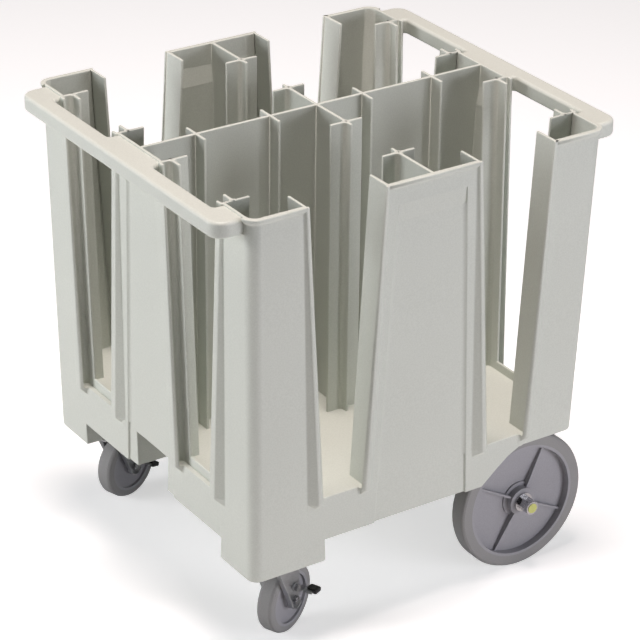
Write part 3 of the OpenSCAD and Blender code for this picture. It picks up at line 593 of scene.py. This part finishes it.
def surfaceGroup():
    # soft blotches and fine grain, for every moulded or metal finish
    s = surfaceSizes
    group = bpy.data.node_groups.new("surfaceGrain", "ShaderNodeTree")
    face = group.interface
    for name, kind in (("Light", "Color"), ("Dark", "Color"), ("Blotch Scale", "Float"),
                       ("Grain Scale", "Float"), ("Rough Low", "Float"), ("Rough High", "Float")):
        face.new_socket(name=name, in_out="INPUT", socket_type="NodeSocket" + kind)
    for name, kind in (("Color", "Color"), ("Roughness", "Float"), ("Height", "Float")):
        face.new_socket(name=name, in_out="OUTPUT", socket_type="NodeSocket" + kind)
    n, link = group.nodes, group.links.new
    inside, out = n.new("NodeGroupInput"), n.new("NodeGroupOutput")
    coord = n.new("ShaderNodeTexCoord")
    blotch, grain = n.new("ShaderNodeTexNoise"), n.new("ShaderNodeTexNoise")
    for noise, detail, scale in ((blotch, s["blotchDetail"], "Blotch Scale"),
                                 (grain, s["grainDetail"], "Grain Scale")):
        noise.inputs["Detail"].default_value = detail
        link(coord.outputs["Object"], noise.inputs["Vector"])
        link(inside.outputs[scale], noise.inputs["Scale"])
    sharp = n.new("ShaderNodeMapRange")
    sharp.inputs["From Min"].default_value = s["grainFrom"]
    sharp.inputs["From Max"].default_value = s["grainTo"]
    link(grain.outputs["Fac"], sharp.inputs["Value"])
    scaled = n.new("ShaderNodeMath")
    scaled.operation = "MULTIPLY"
    scaled.inputs[1].default_value = s["blotchShare"]
    link(blotch.outputs["Fac"], scaled.inputs[0])
    mixed = n.new("ShaderNodeMath")
    mixed.operation = "MULTIPLY_ADD"
    mixed.inputs[1].default_value = s["grainShare"]
    link(sharp.outputs[0], mixed.inputs[0])
    link(scaled.outputs[0], mixed.inputs[2])
    colour = n.new("ShaderNodeMix")
    colour.data_type = "RGBA"
    link(mixed.outputs[0], colour.inputs["Factor"])
    link(inside.outputs["Dark"], colour.inputs[6])
    link(inside.outputs["Light"], colour.inputs[7])
    link(colour.outputs[2], out.inputs["Color"])
    rough = n.new("ShaderNodeMapRange")
    rough.inputs["From Min"].default_value = s["roughFrom"]
    rough.inputs["From Max"].default_value = s["roughTo"]
    link(mixed.outputs[0], rough.inputs["Value"])
    link(inside.outputs["Rough Low"], rough.inputs["To Min"])
    link(inside.outputs["Rough High"], rough.inputs["To Max"])
    link(rough.outputs[0], out.inputs["Roughness"])
    link(grain.outputs["Fac"], out.inputs["Height"])
    return group


grainGroup = surfaceGroup()
finishSizes = {
    "body": {"name": "bodyPlastic", "light": (0.662, 0.692, 0.632), "dark": (0.568, 0.597, 0.538),
             "blotch": 3.0, "grain": 380, "rough": (0.42, 0.56), "bump": (0.0004, 0.25)},
    "tyre": {"name": "tyreRubber", "light": (0.31, 0.31, 0.305), "dark": (0.25, 0.25, 0.248),
             "blotch": 14, "grain": 500, "rough": (0.6, 0.75), "bump": (0.0004, 0.3)},
    "wheel": {"name": "wheelNylon", "light": (0.36, 0.36, 0.385), "dark": (0.29, 0.29, 0.31),
              "blotch": 12, "grain": 500, "rough": (0.42, 0.55), "bump": (0.0003, 0.25)},
    "zinc": {"name": "zincPlate", "light": (0.62, 0.63, 0.64), "dark": (0.42, 0.43, 0.44),
             "blotch": 60, "grain": 900, "rough": (0.28, 0.42), "bump": (0.0002, 0.2),
             "metallic": 1.0},
    "chrome": {"name": "brightSteel", "light": (0.6, 0.6, 0.61), "dark": (0.4, 0.4, 0.41),
               "blotch": 80, "grain": 900, "rough": (0.16, 0.28), "bump": (0.0001, 0.2),
               "metallic": 1.0},
    "cap": {"name": "yellowCap", "light": (0.62, 0.64, 0.22), "dark": (0.5, 0.52, 0.15),
            "blotch": 60, "grain": 700, "rough": (0.35, 0.5), "bump": (0.0002, 0.2)},
    "tab": {"name": "blackTab", "light": (0.03, 0.03, 0.03), "dark": (0.02, 0.02, 0.02),
            "blotch": 60, "grain": 700, "rough": (0.35, 0.5), "bump": (0.0002, 0.3)},
}


def finish(name, light, dark, blotch, grain, rough, bump, metallic=0.0):
    # rough is the least and most roughness, bump is the height in metres and its strength
    material, tree, shader = newMaterial(name)
    node = tree.nodes.new("ShaderNodeGroup")
    node.node_tree = grainGroup
    for socket, value in (("Light", (*light, 1)), ("Dark", (*dark, 1)), ("Blotch Scale", blotch),
                          ("Grain Scale", grain), ("Rough Low", rough[0]),
                          ("Rough High", rough[1])):
        node.inputs[socket].default_value = value
    tree.links.new(node.outputs["Color"], shader.inputs["Base Color"])
    tree.links.new(node.outputs["Roughness"], shader.inputs["Roughness"])
    raised = tree.nodes.new("ShaderNodeBump")
    raised.inputs["Distance"].default_value = bump[0]
    raised.inputs["Strength"].default_value = bump[1]
    tree.links.new(node.outputs["Height"], raised.inputs["Height"])
    tree.links.new(raised.outputs["Normal"], shader.inputs["Normal"])
    shader.inputs["Metallic"].default_value = metallic
    return material


finishes = {key: finish(**sizes) for key, sizes in finishSizes.items()}


def dress(piece, key):
    piece.data.materials.clear()
    piece.data.materials.append(finishes[key])


def dressNode(name, key):
    node = nodes[name]
    for place in node.material_slots:
        place.link = "OBJECT"
        place.material = finishes[key]


# finish of each solid that stays showing, and the width of its softened edges
sidedParts = {
    "axle_bracket": ("zinc", 0.0006), "tyre": ("tyre", 0), "wheel_centre": ("wheel", 0),
    "wheel_bush": ("tab", 0), "caster_plate": ("zinc", 0.0006), "swivel_race": ("zinc", 0),
    "kingpin": ("zinc", 0), "fork": ("zinc", 0.0005), "caster_tread": ("tyre", 0),
    "caster_core": ("wheel", 0), "caster_bush": ("zinc", 0), "caster_axle": ("chrome", 0),
    "caster_axle_nut": ("chrome", 0.0006), "brake_lever": ("zinc", 0.0005),
    "brake_tab": ("tab", 0.0022), "brake_pin": ("chrome", 0),
}
singleParts = {
    "rear_axle": "zinc", "bracket_screws": "zinc", "axle_spacers": "zinc",
    "axle_washers": "chrome", "axle_nuts": "chrome", "axle_caps": "cap",
    "caster_bolts": "zinc", "caster_nuts": "zinc",
}
solidEdge = {"segments": 2, "angle": 40}

for piece in (bodyPiece, beadPiece, *handlePieces):
    dress(piece, "body")
for side in ("left", "right"):
    for part, (key, width) in sidedParts.items():
        dressNode(f"{part}_{side}", key)
        if width:
            solid = nodes[f"{part}_{side}"]
            solid.modifiers.new("weld", "WELD").merge_threshold = weldDistance
            softEdges(solid, width, **solidEdge)
for part, key in singleParts.items():
    dressNode(part, key)
print("materials")


# floor and light

floorSizes = {"cells": 8, "size": 12, "paint": 0.82, "rough": 0.8, "glow": 0.52}


def makeFloor():
    s = floorSizes
    bm = bmesh.new()
    bmesh.ops.create_grid(bm, x_segments=s["cells"], y_segments=s["cells"], size=s["size"])
    mesh = bpy.data.meshes.new("studioFloor")
    bm.to_mesh(mesh)
    bm.free()
    floor = bpy.data.objects.new("studioFloor", mesh)
    bpy.context.collection.objects.link(floor)
    material, tree, shader = newMaterial("floorPaint")
    shader.inputs["Base Color"].default_value = (s["paint"], s["paint"], s["paint"], 1)
    shader.inputs["Roughness"].default_value = s["rough"]
    shader.inputs["Emission Color"].default_value = (1, 1, 1, 1)
    path = tree.nodes.new("ShaderNodeLightPath")
    lift = tree.nodes.new("ShaderNodeMath")
    lift.operation = "MULTIPLY"
    lift.inputs[1].default_value = s["glow"]
    tree.links.new(path.outputs["Is Camera Ray"], lift.inputs[0])
    tree.links.new(lift.outputs[0], shader.inputs["Emission Strength"])
    floor.data.materials.append(material)


worldLevel = 0.012
lampSizes = {
    "leftWindow": {"place": (-3.8, 1.6, 1.2), "target": (0, 0, 0.5), "size": (2.2, 1.8),
                   "power": 105, "colour": (0.962, 0.967, 1)},
    "rightWindow": {"place": (1.8, -3.8, 1.1), "target": (0, 0, 0.5), "size": (2.2, 1.8),
                    "power": 83, "colour": (0.95, 0.935, 1)},
    "ceiling": {"place": (-0.2, -0.2, 4.2), "target": (0, 0, 0.6), "size": (1.2, 1.2),
                "power": 146, "colour": (1, 0.888, 0.859)},
}


def makeLamp(name, place, target, size, power, colour):
    data = bpy.data.lights.new(name, "AREA")
    data.shape = "RECTANGLE"
    data.size, data.size_y = size
    data.energy = power
    data.color = colour
    lamp = bpy.data.objects.new(name, data)
    bpy.context.collection.objects.link(lamp)
    aim = Vector(target) - Vector(place)
    turn = aim.to_track_quat("-Z", "Y").to_matrix().to_4x4()
    lamp.matrix_world = Matrix.Translation(place) @ turn


def makeWorld():
    # a plain white backdrop for the camera, and a faint even light for the cart
    world = bpy.data.worlds.new("studioWorld")
    bpy.context.scene.world = world
    world.use_nodes = True
    tree = world.node_tree
    back = tree.nodes["Background"]
    back.inputs["Color"].default_value = (1, 1, 1, 1)
    path = tree.nodes.new("ShaderNodeLightPath")
    level = tree.nodes.new("ShaderNodeMapRange")
    level.inputs["To Min"].default_value = worldLevel
    level.inputs["To Max"].default_value = 1.0
    tree.links.new(path.outputs["Is Camera Ray"], level.inputs["Value"])
    tree.links.new(level.outputs[0], back.inputs["Strength"])


makeFloor()
makeWorld()
for name, lamp in lampSizes.items():
    makeLamp(name, **lamp)
print("floor and light")
bpy.context.scene.view_settings.view_transform = "Standard"
